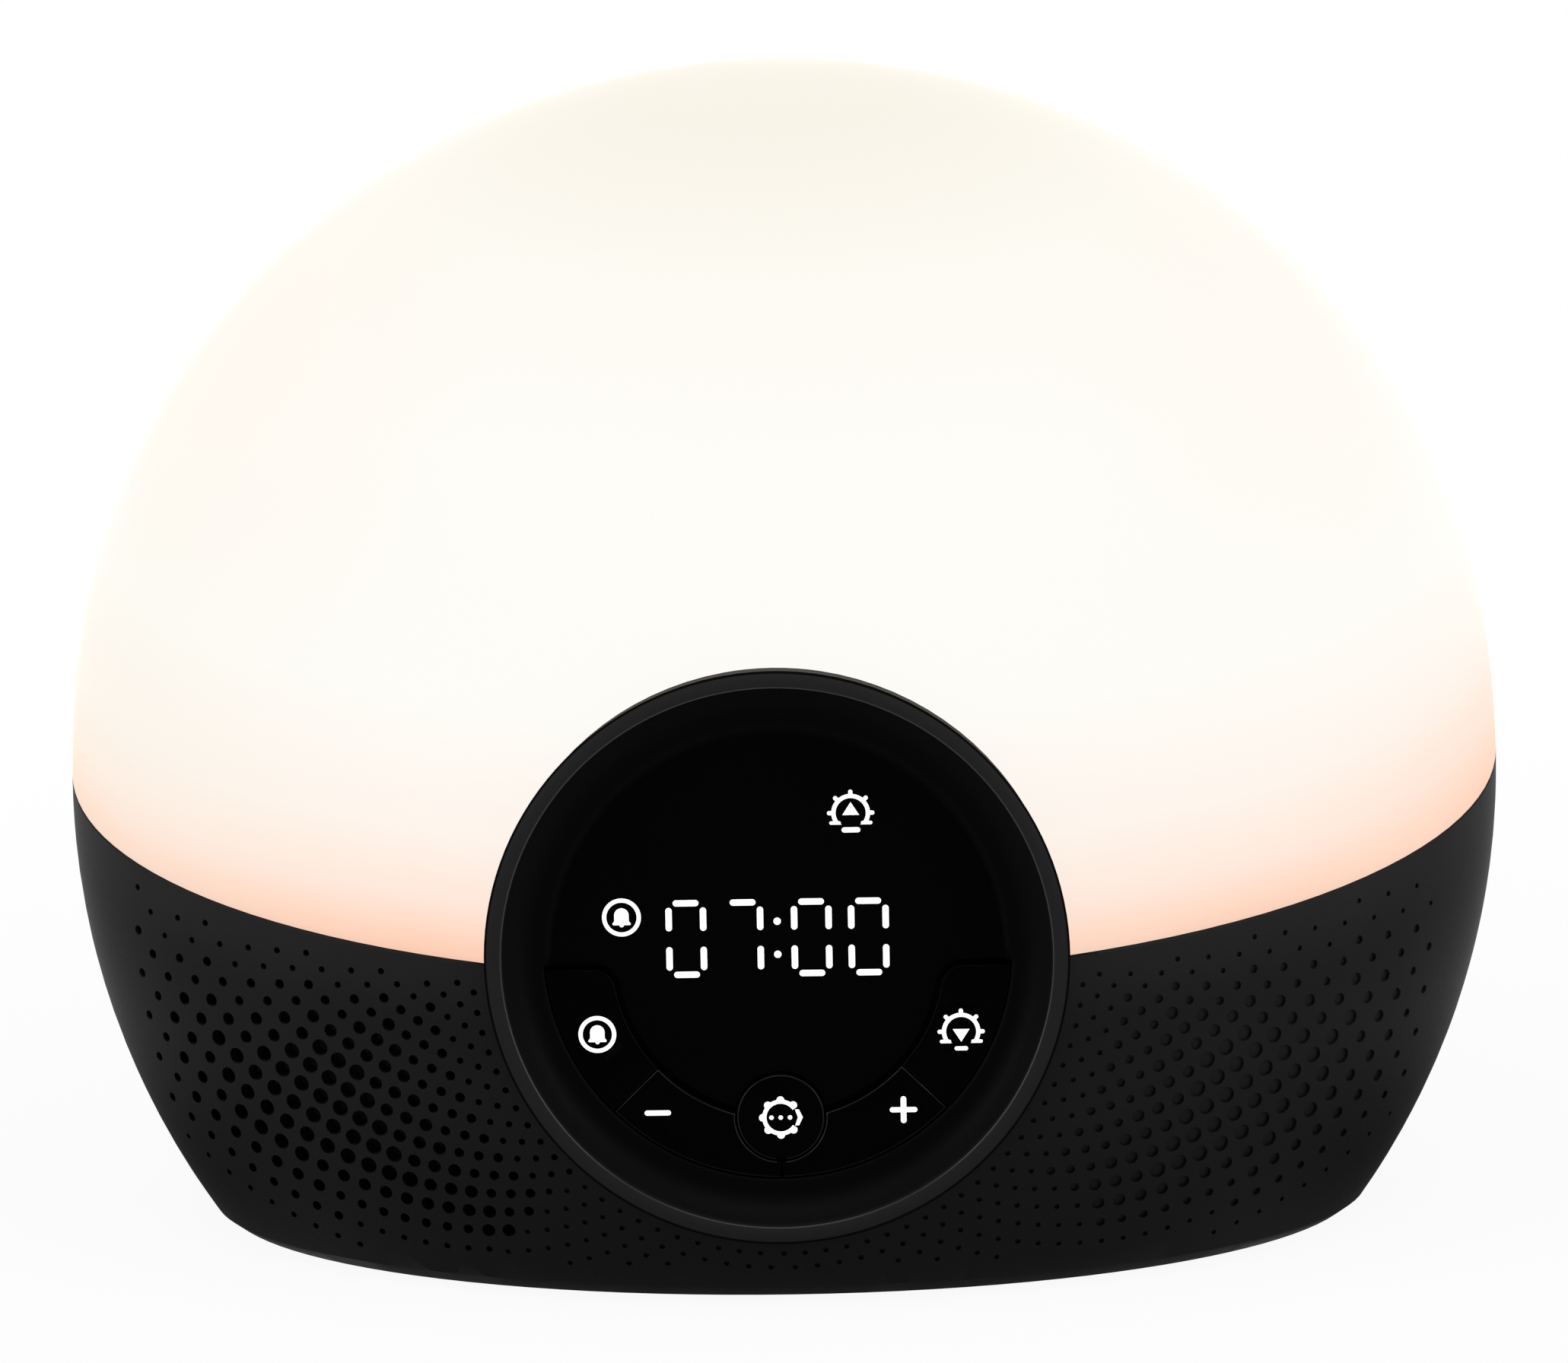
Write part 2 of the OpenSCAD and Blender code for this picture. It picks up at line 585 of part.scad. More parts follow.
// ---- Leads: a round tube swept along a few points ----
function along(path, i) = let (n = len(path) - 1) path[min(i + 1, n)] - path[max(i - 1, 0)];
function ring(path, i, r, sides) =
  let (t = along(path, i) / norm(along(path, i)), a = cross(t, [0.31, 0.87, 0.38]), u = a / norm(a), w = cross(t, u))
  [for (k = [0 : sides - 1]) path[i] + r * (cos(360 * k / sides) * u + sin(360 * k / sides) * w)];
module tube(path, r, sides = 8) {
  n = len(path);
  points = [for (i = [0 : n - 1]) each ring(path, i, r, sides)];
  sides_faces = [for (i = [0 : n - 2], k = [0 : sides - 1])
    [i * sides + k, i * sides + (k + 1) % sides, (i + 1) * sides + (k + 1) % sides, (i + 1) * sides + k]];
  first = [for (k = [sides - 1 : -1 : 0]) k];
  last = [for (k = [0 : sides - 1]) (n - 1) * sides + k];
  polyhedron(points, concat([first], sides_faces, [last]));
}
// A curve through the points p, with steps points in each stretch
function bend(p, steps) = [for (i = [0 : len(p) - 2], s = [0 : steps - 1])
  let (t = s / steps, a = p[max(i - 1, 0)], b = p[i], c = p[i + 1], d = p[min(i + 2, len(p) - 1)])
  0.5 * (2 * b + (c - a) * t + (2 * a - 5 * b + 4 * c - d) * t * t + (3 * b - a - 3 * c + d) * t * t * t)];
speaker_lead_route = [[-41.3, -38.2, 27.4], [-38, -31.2, 28], [-31.5, -16, 27.5], [-27, -7.5, 24.5], [-26, -5, 19]];
led_lead_route = [[53.4, 13.8, 68.5], [53.6, 13.8, 63.9], [55, 13, 53], [51, 9, 39], [42, 4, 27], [35, 2, 21.5], [34, 2, 18.8]];
module pair(route, apart) color("firebrick") for (side = [-1, 1])
  tube([for (p = bend(route, 3)) p + side * apart / 2], 0.6);
module speaker_leads() pair(speaker_lead_route, [1.8, 0, 0]);
module led_leads() pair(led_lead_route, [0, 1.8, 0]);

ribbon_route = [[-39.1, 37.1], [-33.5, 37], [-26.5, 33], [-19, 27], [-14.6, 22], [-14, 19.1]];
module ribbon_cable() color("lightgray") translate([-12, 0, 0]) rotate([90, 0, 90]) linear_extrude(12)
  for (i = [0 : len(ribbon_route) - 2]) hull() {
    translate(ribbon_route[i]) circle(d = 0.8, $fn = 12);
    translate(ribbon_route[i + 1]) circle(d = 0.8, $fn = 12);
  }

dome_diffuser();
base_shell();
bottom_cover();
rubber_feet();
cover_screws();
bezel_ring();
display_window();
key_carrier();
key(0);  // alarm_key
key(1);  // minus_key
key(2);  // menu_key
key(3);  // plus_key
key(4);  // sunset_key
plunger(0);  // alarm_plunger
plunger(1);  // minus_plunger
plunger(2);  // menu_plunger
plunger(3);  // plus_plunger
plunger(4);  // sunset_plunger
key_switches();
control_board();
control_board_screws();
display_module();
lit_segments();
icon_light_guides();
icon_leds();
reflector_tray();
led_board();
dome_leds();
heat_sink();
main_board();
main_board_screws();
controller_chip();
capacitors();
board_headers();
inlet_board();
dc_inlet();
dc_pin();
speaker_gasket();
speaker_basket();
speaker_magnet();
speaker_yoke();
speaker_terminals();
speaker_cone();
dust_cap();
speaker_surround();
speaker_spider();
voice_coil();
speaker_leads();
led_leads();
ribbon_cable();
indicator_icons();
key_symbol(0, 0);  // alarm_symbol
key_symbol(1, 0);  // minus_symbol
key_symbol(2, 0);  // menu_symbol
key_symbol(3, 0);  // plus_symbol
key_symbol(4, 0);  // sunset_symbol
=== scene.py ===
import math
from collections import namedtuple

import bmesh
import bpy
from bpy.props import FloatProperty, FloatVectorProperty, PointerProperty
from mathutils import Matrix, Vector


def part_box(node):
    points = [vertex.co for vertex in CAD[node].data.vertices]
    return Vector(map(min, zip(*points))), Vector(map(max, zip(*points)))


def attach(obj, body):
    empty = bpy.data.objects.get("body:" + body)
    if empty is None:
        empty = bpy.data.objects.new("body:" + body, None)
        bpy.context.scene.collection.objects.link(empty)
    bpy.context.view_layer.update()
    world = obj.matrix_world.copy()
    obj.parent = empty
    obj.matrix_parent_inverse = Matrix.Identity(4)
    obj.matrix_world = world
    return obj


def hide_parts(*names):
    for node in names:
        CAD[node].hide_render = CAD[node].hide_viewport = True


bl_info = {
    "name": "Sunrise alarm clock",
    "version": (1, 0, 0),
    "blender": (4, 5, 0),
    "location": "3D View > Sidebar > Sunrise clock",
    "description": "Dresses the packed solids of a sunrise alarm clock and lights them",
    "category": "Object",
}

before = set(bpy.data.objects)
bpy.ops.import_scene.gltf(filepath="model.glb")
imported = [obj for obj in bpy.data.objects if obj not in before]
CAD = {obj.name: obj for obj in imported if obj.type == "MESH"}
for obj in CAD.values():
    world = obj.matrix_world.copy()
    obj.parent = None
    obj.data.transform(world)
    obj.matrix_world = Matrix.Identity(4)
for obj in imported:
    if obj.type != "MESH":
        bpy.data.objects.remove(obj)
MM = 0.001

# ---- The face: it leans back a little, and is measured from its middle, up it and out of it ----
FACE_TILT = math.radians(2)
FACE_UP = Vector((0, math.sin(FACE_TILT), math.cos(FACE_TILT)))
FACE_OUT = Vector((0, -math.cos(FACE_TILT), math.sin(FACE_TILT)))
BEZEL_LOW, BEZEL_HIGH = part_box("bezel_ring")
BEZEL_R = (BEZEL_HIGH.x - BEZEL_LOW.x) / 2
FACE_MIDDLE = Vector((0, BEZEL_LOW.y + BEZEL_R * FACE_UP.y, BEZEL_HIGH.z - BEZEL_R * FACE_UP.z))
# Radii between which the bezel's dish goes from darker to paler (painted shade), its lip starts and
# its dark outer rim starts (a painted shadow of the gap to the shell)
DISH_PAINTED_SHADE = (33 * MM, 38.6 * MM)
LIP_START = (38 * MM, 38.3 * MM)
GAP_SHADOW_START = (40.2 * MM, 40.35 * MM)
# The bezel's sharp edges within this radius are rounded
ROUNDED_R = 39 * MM
# Where each key's symbol lies, across and up, and how far round it the edges stay sharp
KEYS = {
    "alarm": (-25.4 * MM, -11.5 * MM), "minus": (-17.2 * MM, -22.9 * MM), "menu": (0, -23.8 * MM),
    "plus": (17.2 * MM, -22.9 * MM), "sunset": (25.4 * MM, -11.8 * MM)}
SYMBOL_REACH = 3.5 * MM
# The split between the minus and plus keys, where the rounding keeps the finish of the keys and
# gets no painted highlight
SPLIT_HALF_WIDTH, SPLIT_LOW, SPLIT_HIGH = 0.6 * MM, -33 * MM, -28 * MM
BEZEL_ROUNDING, KEY_ROUNDING = 0.2 * MM, 0.16 * MM
# An edge on the front is rounded if its faces turn by more than this
SHARP_ANGLE = math.radians(50)

# ---- The body ----
# The seam between the base and the dome: its slope from front to back, and its height in the middle
SEAM_TILT = math.radians(16.5)
SEAM_Z = 67 * MM
# The lower body is an arc turned about an axis that leans back, and flattened from front to back
HALF_WIDTH, HALF_DEPTH, LOW_ARC = 105 * MM, 60 * MM, 109 * MM
LEAN = math.radians(12)
LEANED = Matrix.Rotation(-LEAN, 3, "X")
WAIST = Vector((0, 0, 64.1 * MM))
# Along the lean from the waist: how far the shading follows the curve, and how far a search goes
SHADING_REACH, SEARCH_REACH = 70 * MM, 80 * MM

# ---- The grille: rings of holes round a middle on a plane just in front of the body ----
# The plan of one side: the middle across and up, the radius of ring 0, the angle of the first hole,
# the tilt at which the rings are laid on the body, and the lowest z
Plan = namedtuple("Plan", "across up start phase tilt lowest")
RIGHT_DIMPLES = Plan(
    0.29 * MM, 50.28 * MM, 0.59 * MM, math.radians(0.21), math.radians(1.07), 5.3 * MM)
LEFT_DIMPLES = Plan(
    -0.35 * MM, 50.6 * MM, 0.75 * MM, math.radians(0.21), math.radians(3.1), 5.3 * MM)
OPEN_HOLES = Plan(
    -0.75 * MM, 50.6 * MM, 0.75 * MM, math.radians(0.4), math.radians(3.1), 5.1 * MM)
# How far that plane lies in front of the clock's middle
RINGS_PLANE = 61.8 * MM
RING_NUMBERS = range(19, 43)
# Rings below each number reach this one of the four sizes, 0 to 3
RING_SIZES = ((22, 0), (25, 1), (28, 2), (38, 3), (41, 2), (43, 1))
LARGEST_SIZE = 3
# The rings up to this one lie close round the bezel, and their holes don't shrink at the lower end
LAST_INNER_RING = 26
# Angles in degrees, from the side round to below the face: the inner rings' dimples are small from
# the first, and the open holes end at the second
SMALL_FROM, OPEN_END = 42, 47
# The open holes go through the solid, so their spacing and sizes are fixed
OPEN_PITCH, OPEN_STEP = 2.17 * MM, math.radians(4)
OPEN_SMALLEST, OPEN_LARGEST, MOUTH_DEPTH = 0.8 * MM, 2 * MM, 1.8 * MM
# Borders of the pattern: furthest x, distance to the seam, and the x where the lower border rises
SIDE_LIMIT, SEAM_MARGIN, CORNER_X, CORNER_SLOPE = 100 * MM, 2.8 * MM, 70 * MM, 0.5

# ---- The camera: the size of its view, its focal length and its optical axis, all in pixels ----
VIEW_WIDTH, VIEW_HEIGHT = 2061, 1792
FOCAL_LENGTH, AXIS_ACROSS, AXIS_DOWN = 8030.3, 1026.665, 879.955
SENSOR_WIDTH = 36
CAMERA_LIFT, CAMERA_TURN = math.radians(12.023), math.radians(1.298)
CAMERA_ROLL = math.radians(-1.14)
CAMERA_AIM = Vector((0, 0, 78.9 * MM))


# ---- Node trees ----
class Signal:
    """One value in a material's node tree. Sums and products of it add Math nodes."""

    def __init__(self, paint, socket):
        self.paint = paint
        self.socket = socket

    def calc(self, operation, *values):
        return self.paint.node("ShaderNodeMath", {"operation": operation}, values)

    def __add__(self, other):
        return self.calc("ADD", self, other)

    def __radd__(self, other):
        return self.calc("ADD", other, self)

    def __sub__(self, other):
        return self.calc("SUBTRACT", self, other)

    def __rsub__(self, other):
        return self.calc("SUBTRACT", other, self)

    def __mul__(self, other):
        return self.calc("MULTIPLY", self, other)

    def __rmul__(self, other):
        return self.calc("MULTIPLY", other, self)

    def __abs__(self):
        return self.calc("ABSOLUTE", self)


class Paint:
    """Builds the nodes of one material or world."""

    def __init__(self, tree):
        self.tree = tree
        tree.nodes.clear()

    def node(self, kind, settings=None, inputs=(), output=0):
        """Adds a node, its settings first and then its inputs, and gives one of its outputs."""
        made = self.tree.nodes.new(kind)
        for name, value in (settings or {}).items():
            if name == "stops":
                self.set_stops(made.color_ramp, value)
            else:
                setattr(made, name, value)
        for key, value in inputs.items() if isinstance(inputs, dict) else enumerate(inputs):
            if isinstance(value, Signal):
                self.tree.links.new(value.socket, made.inputs[key])
            else:
                made.inputs[key].default_value = value
        return Signal(self, made.outputs[output]) if made.outputs else None

    def set_stops(self, ramp, stops):
        while len(ramp.elements) > 1:
            ramp.elements.remove(ramp.elements[-1])
        for index, (place, colour) in enumerate(stops):
            element = ramp.elements[0] if index == 0 else ramp.elements.new(place)
            element.position = place
            element.color = (*colour, 1)

    def vector(self, operation, *values, output=0):
        return self.node("ShaderNodeVectorMath", {"operation": operation}, values, output)

    def place(self):
        return self.node("ShaderNodeTexCoord", output="Object")

    def axes(self):
        parts = self.node("ShaderNodeSeparateXYZ", inputs=[self.place()])
        return [Signal(self, socket) for socket in parts.socket.node.outputs]

    def along(self, origin, direction):
        """How far a point lies from the origin in this direction."""
        moved = self.vector("SUBTRACT", self.place(), origin)
        return self.vector("DOT_PRODUCT", moved, direction, output="Value")

    def rise(self, value, low, high, start=0.0, end=1.0):
        """Goes smoothly from start to end while the value goes from low to high."""
        return self.node("ShaderNodeMapRange", {"interpolation_type": "SMOOTHSTEP"},
                         [value, low, high, start, end])

    def noise(self, scale, detail=2.0):
        return self.node("ShaderNodeTexNoise", inputs={
            "Vector": self.place(), "Scale": scale, "Detail": detail})

    def blend(self, factor, low, high):
        """Mixes two colours, each a link or red, green and blue."""
        low, high = [(*c, 1) if isinstance(c, tuple) else c for c in (low, high)]
        return self.node(
            "ShaderNodeMix", {"data_type": "RGBA"}, {0: factor, 6: low, 7: high}, output=2)

    def ramp(self, value, stops):
        return self.node("ShaderNodeValToRGB", {"stops": stops}, [value])

    def bump(self, height, depth, strength):
        return self.node("ShaderNodeBump", inputs={
            "Strength": strength, "Distance": depth, "Height": height})

    def surface(self, **sockets):
        inputs = {name.replace("_", " "): value for name, value in sockets.items()}
        shader = self.node("ShaderNodeBsdfPrincipled", inputs=inputs)
        self.node("ShaderNodeOutputMaterial", inputs=[shader])


def material(name):
    made = bpy.data.materials.new(name)
    made.use_nodes = True
    return made, Paint(made.node_tree)


def grey(level):
    return (level, level, level)


def mixed(one, other, share):
    return tuple(a + (b - a) * share for a, b in zip(one, other))


def toned(colour, factor):
    """A colour made darker or paler, up to white."""
    return tuple(min(1.0, c * factor) for c in colour)


def moulded(name, colour, roughness=0.45, grain=900.0, depth=0.02, specular=0.5):
    """Moulded plastic: a fine grain of this depth in millimetres, and a faint change of tone."""
    made, paint = material(name)
    flow = paint.noise(45.0, 3.0)
    fine = paint.noise(grain)
    paint.surface(Base_Color=paint.blend(flow, toned(colour, 0.86), toned(colour, 1.12)),
                  Roughness=fine * 0.12 + (roughness - 0.06), Specular_IOR_Level=specular,
                  Normal=paint.bump(fine, depth * MM, 0.6))
    return made


def metal(name, colour, roughness=0.3, brush=(60.0, 60.0, 2400.0)):
    """Metal with fine marks from rolling or drawing, and duller patches."""
    made, paint = material(name)
    stretched = paint.vector("MULTIPLY", paint.place(), brush)
    marks = paint.node("ShaderNodeTexNoise", inputs={
        "Vector": stretched, "Scale": 1.0, "Detail": 3.0})
    dull = paint.noise(70.0, 4.0)
    paint.surface(Base_Color=paint.blend(dull, toned(colour, 0.82), colour), Metallic=1.0,
                  Roughness=marks * 0.16 + dull * 0.1 + (roughness - 0.1),
                  Normal=paint.bump(marks, 0.008 * MM, 0.5))
    return made


def solder_mask(name, colour):
    """Circuit board: lacquer with tracks under it."""
    made, paint = material(name)
    lanes = paint.axes()[0] * 620.0
    tracks = paint.rise(abs(lanes.calc("FRACT", lanes) - 0.5), 0.16, 0.2)
    turns = paint.rise(paint.noise(130.0, 0.0), 0.48, 0.52)
    copper = tracks * turns
    paint.surface(Base_Color=paint.blend(copper, toned(colour, 0.75), toned(colour, 1.25)),
                  Roughness=copper * -0.08 + 0.36, Coat_Weight=0.3,
                  Normal=paint.bump(copper, 0.03 * MM, 0.6))
    return made


# ---- Pieces and CAD nodes ----
def dress(made, *nodes):
    """Gives these CAD nodes this finish."""
    for name in nodes:
        mesh = CAD[name].data
        mesh.materials.clear()
        mesh.materials.append(made)


def join_body(piece, body, slot_name, *nodes):
    """Puts a new piece in the place of its CAD nodes and on its body. The slot name is not used."""
    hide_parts(*nodes)
    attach(piece, body)


def new_piece(name, shape, made):
    mesh = bpy.data.meshes.new(name)
    shape.to_mesh(mesh)
    shape.free()
    mesh.materials.append(made)
    piece = bpy.data.objects.new(name, mesh)
    bpy.context.scene.collection.objects.link(piece)
    return piece


def merged_copy(name):
    """The solid of a CAD node as one closed mesh."""
    shape = bmesh.new()
    shape.from_mesh(CAD[name].data)
    bmesh.ops.remove_doubles(shape, verts=shape.verts, dist=0.001 * MM)
    return shape


def carve(piece, cutters):
    """Cuts closed shapes out of a piece, and keeps its material."""
    tool = new_piece(piece.name + "_cutters", cutters, piece.data.materials[0])
    cut = piece.modifiers.new("carve", "BOOLEAN")
    cut.operation, cut.solver, cut.object = "DIFFERENCE", "MANIFOLD", tool
    bpy.context.view_layer.update()
    done = bpy.data.meshes.new_from_object(
        piece.evaluated_get(bpy.context.evaluated_depsgraph_get()))
    piece.modifiers.clear()
    piece.data = done
    bpy.data.objects.remove(tool)


def smooth(piece, degrees):
    """Smooth shading, with edges sharper than this kept sharp."""
    piece.data.shade_smooth()
    piece.data.set_sharp_from_angle(angle=math.radians(degrees))


def on_face(place):
    """A point as x and up across the face, and out from its lip."""
    return place.x, (place - FACE_MIDDLE).dot(FACE_UP), (place - FACE_MIDDLE).dot(FACE_OUT)


def rounded_copy(name, chosen, width, base, edge, flatten=True):
    """A copy of a CAD node with the chosen edges of its front rounded, in a finish of their own,
    which on the keys is paler as a painted highlight.

    Chosen tells by x and up whether a point's edge counts. Flatten joins the flat faces first."""
    shape = merged_copy(name)
    front = max(on_face(v.co)[2] for v in shape.verts) - 0.05 * MM
    if flatten:
        bmesh.ops.dissolve_limit(
            shape, angle_limit=math.radians(0.3), verts=shape.verts, edges=shape.edges)
    edges = [e for e in shape.edges if e.is_manifold and e.calc_face_angle(0) > SHARP_ANGLE
             and all(on_face(v.co)[2] > front and chosen(*on_face(v.co)[:2]) for v in e.verts)]
    rounded = bmesh.ops.bevel(
        shape, geom=edges, offset=width, offset_type="OFFSET", segments=3, profile=0.5,
        affect="EDGES", material=-1, clamp_overlap=True, loop_slide=False)
    for face in rounded["faces"]:
        x, up, _ = on_face(face.calc_center_median())
        in_split = abs(x) <= SPLIT_HALF_WIDTH and SPLIT_LOW < up < SPLIT_HIGH
        face.material_index = 0 if in_split else 1
    piece = new_piece(name + "_rounded", shape, base)
    piece.data.materials.append(edge)
    smooth(piece, 40)
    return piece


# ---- The front of the lower body. V goes up from the waist, along the lean ----
def radius_at(v):
    return HALF_WIDTH - LOW_ARC + math.sqrt(LOW_ARC * LOW_ARC - v * v)


def way_out(x, round_y, v):
    """The way out of the surface. Round_y is y before the body was flattened."""
    radius = radius_at(v)
    out = Vector((x / radius, round_y / radius * HALF_WIDTH / HALF_DEPTH,
                  v / math.sqrt(LOW_ARC * LOW_ARC - v * v)))
    return LEANED @ out.normalized()


def body_point(x, v):
    """A point of the front, and the way out of the surface there."""
    round_y = -math.sqrt(max(radius_at(v) ** 2 - x * x, MM * MM))
    place = LEANED @ Vector((x, round_y * HALF_DEPTH / HALF_WIDTH, v)) + WAIST
    return place, way_out(x, round_y, v)


def front_point(x, level, slope):
    """The point of the front at x where z = level + slope * y, and the way out. A short search."""
    v = -30 * MM
    for _ in range(8):
        place = body_point(x, v)[0]
        v += (level + slope * place.y - place.z) / math.cos(LEAN)
        v = max(-SEARCH_REACH, min(SEARCH_REACH, v))
    return body_point(x, v)


# ---- Sizes and colours that a user would change ----
class ClockBody(bpy.types.PropertyGroup):
    shell_colour: FloatVectorProperty(
        name="Shell colour", description="Plastic of the base", subtype="COLOR",
        default=(0.0085, 0.0085, 0.0087))
    glow_colour: FloatVectorProperty(
        name="Glow", description="Light of the dome far from the seam", subtype="COLOR",
        default=(0.94, 0.928, 0.885))
    dawn_colour: FloatVectorProperty(
        name="Dawn", description="Light of the dome near the seam", subtype="COLOR",
        default=(0.97, 0.6, 0.44))
    crown_colour: FloatVectorProperty(
        name="Crown", description="Light of the dome at its crown", subtype="COLOR",
        default=(0.875, 0.84, 0.75))
    glow_level: FloatProperty(
        name="Glow level", description="Strength of the dome's light", default=1.0, min=0, max=2)


class ClockGrille(bpy.types.PropertyGroup):
    ring_pitch: FloatProperty(
        name="Ring pitch", description="Spacing of the rings of dimples round the face",
        subtype="DISTANCE", default=2.198 * MM, min=2 * MM, max=2.4 * MM)
    step: FloatProperty(
        name="Step", description="Angle between the dimples of a ring", subtype="ANGLE",
        default=math.radians(4), min=math.radians(3.8), max=math.radians(4.2))
    smallest: FloatProperty(
        name="Smallest dimple", description="Diameter near the borders", subtype="DISTANCE",
        default=0.8 * MM, min=0.5 * MM, max=1 * MM)
    largest: FloatProperty(
        name="Largest dimple", description="Diameter in the middle of the pattern",
        subtype="DISTANCE", default=2.4 * MM, min=1.6 * MM, max=2.5 * MM)
    mouth: FloatProperty(
        name="Mouth", description="Width of the mouth of an open hole, as a multiple of the hole",
        default=1.22, min=1, max=1.3)
    depth: FloatProperty(
        name="Dimple depth", description="Depth below the shell's surface", subtype="DISTANCE",
        default=0.48 * MM, min=0.2 * MM, max=1.6 * MM)


class ClockFace(bpy.types.PropertyGroup):
    digit_colour: FloatVectorProperty(
        name="Digits", description="Light of the digits and symbols", subtype="COLOR",
        default=(1.0, 1.0, 0.98))
    digit_level: FloatProperty(
        name="Digit level", description="Strength of the digits' light", default=1.0, min=0, max=2)


class ClockStudio(bpy.types.PropertyGroup):
    lamp_level: FloatProperty(
        name="Lamps", description="Strength of the soft lamps", default=1.0, min=0, max=4)
    distance: FloatProperty(
        name="Camera distance", description="From the camera to the middle of the clock",
        subtype="DISTANCE", default=0.9, min=0.3, max=3)


# ---- Operators, one for each piece or group of pieces ----
class CLOCK_OT_dome(bpy.types.Operator):
    """Opal dome that glows, peach at the seam, white in the middle and cream at the crown"""
    bl_idname = "clock.dome"
    bl_label = "Glowing dome"

    def execute(self, context):
        body = context.scene.clock_body
        made, paint = material("opal_glow")
        fine = paint.noise(1400.0)
        paint.surface(Base_Color=paint.blend(fine, (0.045, 0.044, 0.041), (0.055, 0.054, 0.05)),
                      Roughness=fine * 0.08 + 0.4, Specular_IOR_Level=0.02,
                      Emission_Color=self.light(paint, body), Emission_Strength=body.glow_level,
                      Normal=paint.bump(fine, 0.01 * MM, 0.4))
        dress(made, "dome_diffuser")
        return {"FINISHED"}

    def light(self, paint, body):
        """The dome's light by its height above the seam, in tenths of a metre, and by its side."""
        seam_up = Vector((0, -math.sin(SEAM_TILT), math.cos(SEAM_TILT)))
        above = paint.along(Vector((0, 0, SEAM_Z)), seam_up) * 10.0
        x = paint.axes()[0]
        dawn, glow = tuple(body.dawn_colour), tuple(body.glow_colour)
        crown = tuple(body.crown_colour)
        ember = (0.8, 0.4, 0.26)
        stops = [(0.0, mixed(dawn, ember, 0.5)), (0.008, mixed(dawn, ember, 0.2)), (0.022, dawn)]
        stops += [(height, mixed(dawn, glow, share)) for height, share in (
            (0.047, 0.25), (0.08, 0.5), (0.12, 0.63), (0.16, 0.79), (0.24, 0.88))]
        stops += [(0.32, glow), (0.6, glow), (0.8, mixed(glow, crown, 0.4))]
        stops += [(0.92, crown), (1.0, crown)]
        left = paint.rise(x, -100 * MM, -45 * MM, 0.4, 0.0)
        left_flank = paint.rise(x, -90 * MM, -35 * MM, 0.75, 0.0)
        flank = left_flank + paint.rise(x, 35 * MM, 90 * MM, 0.0, 0.5)
        right_end = paint.rise(x, 60 * MM, 100 * MM) * paint.rise(above, 0.24, 0.0, 0.0, 0.4)
        cloud = paint.rise(paint.noise(9.0, 3.0), 0.35, 0.7, 0.0, 0.25)
        light = paint.blend(left, paint.ramp(above, stops), crown)
        light = paint.blend(flank * paint.rise(above, 0.3, 0.7), light, mixed(glow, dawn, 0.22))
        light = paint.blend(right_end, light, dawn)
        return paint.blend(cloud, light, mixed(glow, crown, 0.5))


